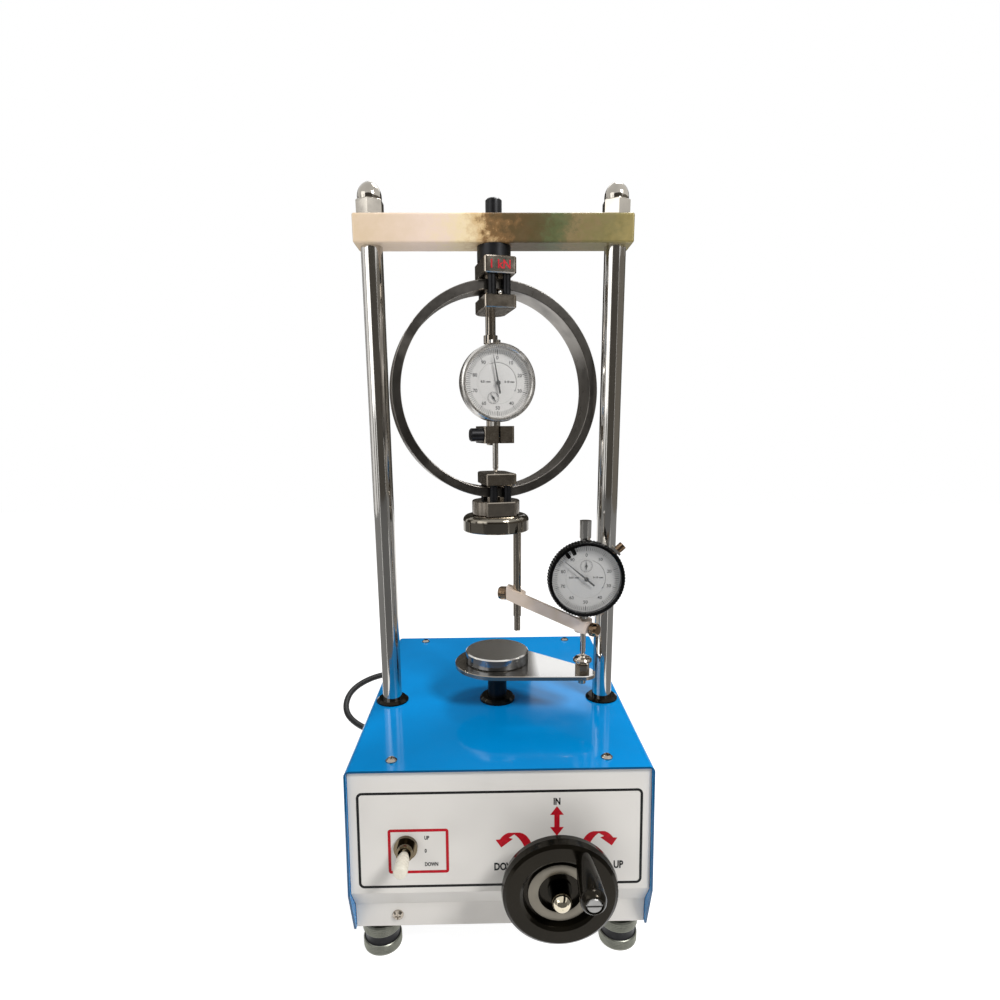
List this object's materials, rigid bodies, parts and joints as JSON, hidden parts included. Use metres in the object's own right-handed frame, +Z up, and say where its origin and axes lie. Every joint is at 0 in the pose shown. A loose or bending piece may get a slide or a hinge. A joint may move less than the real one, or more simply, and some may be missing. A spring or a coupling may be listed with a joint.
{
  "type": "unconfined compression tester",
  "caption": "Bench load frame that squeezes a soil specimen between platens, with a hand-cranked lift, a proving ring and dial indicators for force and strain.",
  "frame": {"origin": "on the bench under the middle of the bounding box, the mains lead left out", "axes": "+Z up, +Y to the rear, +X to the operator's right when facing the panel"},
  "size_m": [0.2914, 0.4835, 0.559],
  "materials": {
    "cover_blue": "gloss enamel",
    "panel_grey": "satin enamel with printed markings",
    "plate_steel": "machined",
    "housing_iron": "cast",
    "motor_black": "satin",
    "bright_chrome": "polished",
    "ring_steel": "ground",
    "passivated_yellow": "yellow passivated, faintly iridescent",
    "blued_steel": "blackened",
    "black_bakelite": "moulded",
    "foot_steel": "knurled rings and a dark waist",
    "ivory_sleeve": "moulded",
    "dial_white": "printed",
    "dial_glass": "clear",
    "needle_black": "matt",
    "bezel_black": "serrated edge",
    "gear_brass": "machined",
    "screw_brass": "knurled, passivated",
    "cord_black": "sheath",
    "plug_black": "moulded"
  },
  "bodies": {
    "load_frame": {"case_cover": "cover_blue", "front_panel": "panel_grey", "rear_panel": "panel_grey", "base_plate": "plate_steel", "deck_plate": "plate_steel", "deck_posts": "plate_steel", "case_screws": "bright_chrome", "left_column": "bright_chrome", "right_column": "bright_chrome", "top_bushes": "black_bakelite", "crossbeam": "passivated_yellow", "acorn_nuts": "bright_chrome", "hanger_stud": "blued_steel", "proving_ring": "ring_steel", "upper_ring_blocks": "ring_steel", "lower_ring_blocks": "ring_steel", "clamp_posts": "blued_steel", "dial_hanger_rod": "bright_chrome", "stem_clamp": "bright_chrome", "force_dial_case": "bright_chrome", "upper_platen": "bright_chrome", "support_rod": "bright_chrome", "gear_housing": "housing_iron", "motor": "motor_black", "toggle_switch": "bright_chrome", "cord_gland": "plug_black", "mains_cord": "cord_black", "cord_coil": "cord_black", "mains_plug": "plug_black"},
    "worm_body": {"worm": "plate_steel"},
    "wheel": {"handwheel": "black_bakelite", "wheel_shaft": "bright_chrome", "crank_bolt": "bright_chrome"},
    "crank": {"crank_handle": "black_bakelite"},
    "lift": {"lifting_spindle": "blued_steel", "anvil_plate": "bright_chrome", "lower_platen": "bright_chrome", "anvil_screw": "bright_chrome"},
    "lift_nut": {"worm_wheel": "gear_brass"},
    "arm": {"dial_arm": "passivated_yellow", "arm_screws": "screw_brass", "strain_dial_case": "bright_chrome"},
    "strain_rim": {"strain_dial_bezel": "bezel_black", "strain_dial_crystal": "dial_glass", "strain_dial_face": "dial_white"},
    "strain_needle": {"strain_dial_pointer": "needle_black"},
    "strain_small_hand": {"strain_dial_counter": "needle_black"},
    "strain_rod": {"strain_dial_plunger": "bright_chrome"},
    "force_rim": {"force_dial_bezel": "bright_chrome", "force_dial_crystal": "dial_glass", "force_dial_face": "dial_white"},
    "force_needle": {"force_dial_pointer": "needle_black"},
    "force_small_hand": {"force_dial_counter": "needle_black"},
    "force_rod": {"force_dial_plunger": "bright_chrome"},
    "clamp_knob": {"stem_clamp_knob": "blued_steel"},
    "switch_lever": {"toggle_lever": "ivory_sleeve"},
    "foot_fl": {"foot_front_left": "foot_steel"},
    "foot_fr": {"foot_front_right": "foot_steel"},
    "foot_rl": {"foot_rear_left": "foot_steel"},
    "foot_rr": {"foot_rear_right": "foot_steel"}
  },
  "joints": [
    {"name": "wheel_turn", "type": "hinge", "parent": "load_frame", "child": "worm_body", "pos_m": [0.03895, -0.13295, 0.08304], "axis": [0, 1, 0], "range_deg": [0, 7200]},
    {"name": "wheel_pull", "type": "slide", "parent": "worm_body", "child": "wheel", "axis": [0, -1, 0], "range_m": [0, 0.008]},
    {"name": "crank_spin", "type": "hinge", "parent": "wheel", "child": "crank", "pos_m": [0.05348, -0.13295, 0.11155], "axis": [0, -1, 0], "continuous": true},
    {"name": "spindle_lift", "type": "slide", "parent": "load_frame", "child": "lift", "axis": [0, 0, 1], "range_m": [0, 0.01]},
    {"name": "lift_nut_turn", "type": "hinge", "parent": "load_frame", "child": "lift_nut", "pos_m": [0, 0.01305, 0.08304], "axis": [0, 0, 1], "range_deg": [0, 720]},
    {"name": "arm_swing", "type": "hinge", "parent": "load_frame", "child": "arm", "pos_m": [0.0164, -0.00295, 0.2705], "axis": [0, 0, 1], "range_deg": [-60, 0]},
    {"name": "strain_rim_turn", "type": "hinge", "parent": "arm", "child": "strain_rim", "pos_m": [0.0685, -0.01395, 0.2705], "axis": [0, -1, 0], "continuous": true},
    {"name": "strain_needle_turn", "type": "hinge", "parent": "arm", "child": "strain_needle", "pos_m": [0.0685, -0.01395, 0.2705], "axis": [0, 1, 0], "range_deg": [0, 3600]},
    {"name": "strain_count", "type": "hinge", "parent": "arm", "child": "strain_small_hand", "pos_m": [0.0685, -0.01395, 0.2805], "axis": [0, -1, 0], "range_deg": [0, 360]},
    {"name": "strain_rod_slide", "type": "slide", "parent": "arm", "child": "strain_rod", "axis": [0, 0, 1], "range_m": [0, 0.01]},
    {"name": "force_rim_turn", "type": "hinge", "parent": "load_frame", "child": "force_rim", "pos_m": [0, 0.01305, 0.4177], "axis": [0.225, -0.9744, 0], "continuous": true},
    {"name": "force_needle_turn", "type": "hinge", "parent": "load_frame", "child": "force_needle", "pos_m": [0, 0.01305, 0.4177], "axis": [-0.225, 0.9744, 0], "range_deg": [0, 1800]},
    {"name": "force_count", "type": "hinge", "parent": "load_frame", "child": "force_small_hand", "pos_m": [-0.00341, 0.01226, 0.4067], "axis": [0.225, -0.9744, 0], "range_deg": [0, 180]},
    {"name": "force_rod_slide", "type": "slide", "parent": "load_frame", "child": "force_rod", "axis": [0, 0, 1], "range_m": [0, 0.005], "stiffness_N_per_m": 40, "springref_m": -0.015},
    {"name": "clamp_knob_turn", "type": "hinge", "parent": "load_frame", "child": "clamp_knob", "pos_m": [-0.00996, 0.00151, 0.37925], "axis": [-0.9744, -0.225, 0], "range_deg": [0, 180]},
    {"name": "switch_tilt", "type": "hinge", "parent": "load_frame", "child": "switch_lever", "pos_m": [-0.06591, -0.10559, 0.09967], "axis": [1, 0, 0], "range_deg": [-15, 15]},
    {"name": "foot_fl_turn", "type": "hinge", "parent": "load_frame", "child": "foot_fl", "pos_m": [-0.09, -0.07895, 0], "axis": [0, 0, 1], "continuous": true},
    {"name": "foot_fr_turn", "type": "hinge", "parent": "load_frame", "child": "foot_fr", "pos_m": [0.09, -0.07895, 0], "axis": [0, 0, 1], "continuous": true},
    {"name": "foot_rl_turn", "type": "hinge", "parent": "load_frame", "child": "foot_rl", "pos_m": [-0.09, 0.14705, 0], "axis": [0, 0, 1], "continuous": true},
    {"name": "foot_rr_turn", "type": "hinge", "parent": "load_frame", "child": "foot_rr", "pos_m": [0.09, 0.14705, 0], "axis": [0, 0, 1], "continuous": true}
  ],
  "couplings": [
    {"joint": "wheel_turn", "follows": "spindle_lift", "rad_per_m": 12566},
    {"joint": "lift_nut_turn", "follows": "spindle_lift", "rad_per_m": 1256.6},
    {"joint": "strain_rod_slide", "follows": "spindle_lift", "ratio": 1},
    {"joint": "strain_needle_turn", "follows": "spindle_lift", "rad_per_m": 6283.2},
    {"joint": "strain_count", "follows": "spindle_lift", "rad_per_m": 628.32},
    {"joint": "force_needle_turn", "follows": "force_rod_slide", "rad_per_m": 6283.2},
    {"joint": "force_count", "follows": "force_rod_slide", "rad_per_m": 628.32}
  ]
}
